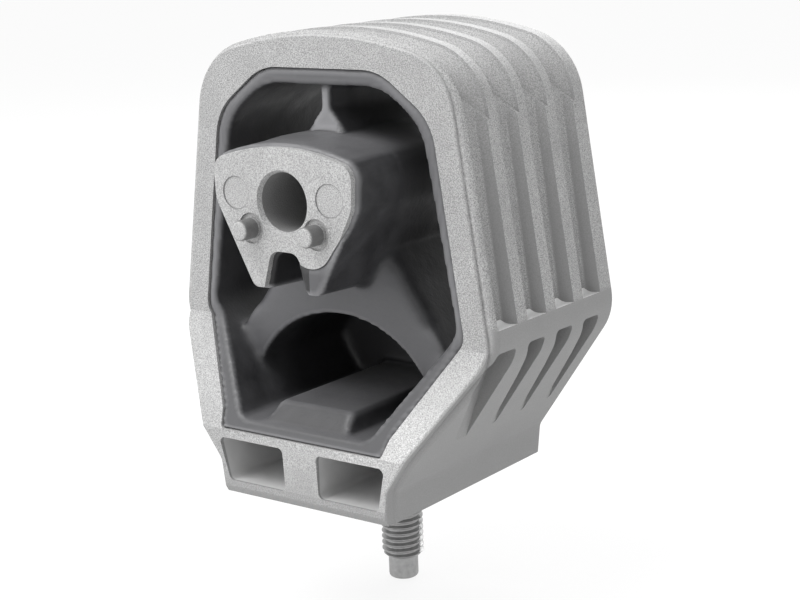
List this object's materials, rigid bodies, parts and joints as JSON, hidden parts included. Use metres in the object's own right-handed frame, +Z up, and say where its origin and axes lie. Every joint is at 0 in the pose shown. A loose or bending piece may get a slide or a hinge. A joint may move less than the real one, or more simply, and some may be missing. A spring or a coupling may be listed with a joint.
{
  "type": "engine mount",
  "caption": "Rubber-metal engine mount: ribbed cast aluminium housing, rubber spring with a cast bored core, and a threaded stud under the foot.",
  "frame": {"origin": "on the foot stud's axis, in the plane of the foot's underside", "axes": "+Z up, against the way the stud points; -Y to the front, the way the core's face and locating pins point; +X across, to the right when seen from the front"},
  "size_m": [0.1058, 0.0821, 0.159],
  "materials": {
    "housing_aluminium": "die cast, shot blasted, matt and slightly sandy",
    "core_aluminium": "die cast, shot blasted, matt",
    "rubber": "moulded natural rubber, satin, slightly dusty",
    "stud_steel": "zinc plated, rolled thread"
  },
  "bodies": {
    "root": {"housing": "housing_aluminium", "core": "core_aluminium", "rubber_spring": "rubber", "foot_stud": "stud_steel"}
  },
  "joints": []
}
